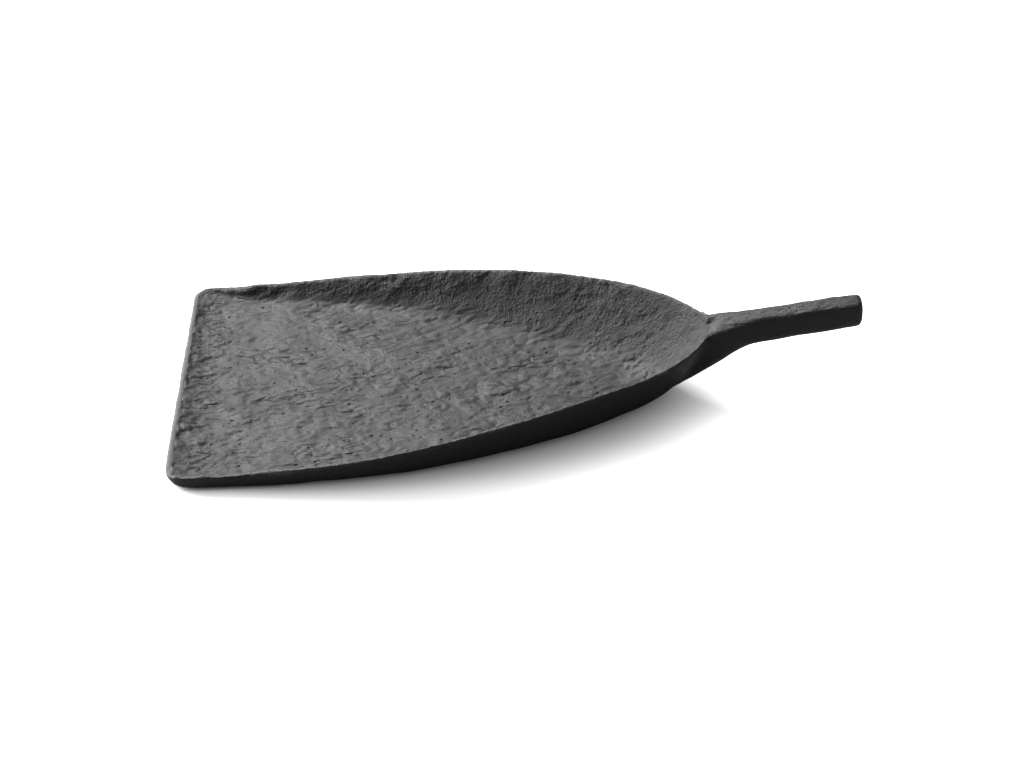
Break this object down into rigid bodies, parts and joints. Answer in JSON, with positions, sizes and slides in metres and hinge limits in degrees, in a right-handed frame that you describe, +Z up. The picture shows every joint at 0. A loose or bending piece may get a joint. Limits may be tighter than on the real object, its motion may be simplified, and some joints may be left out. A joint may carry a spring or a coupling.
{
  "type": "shovel-shaped tray",
  "caption": "Shallow shovel-shaped tray of rough cast metal. Its rim climbs from a low front lip to an upturned bar handle, and it stands on glued-on rubber feet.",
  "frame": {"origin": "on the table surface, under the middle of the tray's overall box", "axes": "+X along the tray from the front lip towards the handle's end, +Y across it, +Z up"},
  "size_m": [0.6, 0.33, 0.0952],
  "materials": {
    "black_cast_aluminium": "rough sand-cast skin with a matt charcoal-black coating, rubbed lighter along the rim",
    "black_rubber": "matt moulded rubber",
    "clear_glue": "cloudy cured adhesive"
  },
  "bodies": {
    "root": {"tray_casting": "black_cast_aluminium", "rubber_foot_front_left": "black_rubber", "rubber_foot_front_right": "black_rubber", "rubber_foot_side_left": "black_rubber", "rubber_foot_side_right": "black_rubber", "rubber_foot_rear": "black_rubber", "glue_disc_front_left": "clear_glue", "glue_disc_front_right": "clear_glue", "glue_disc_side_left": "clear_glue", "glue_disc_side_right": "clear_glue", "glue_disc_rear": "clear_glue"}
  },
  "joints": []
}
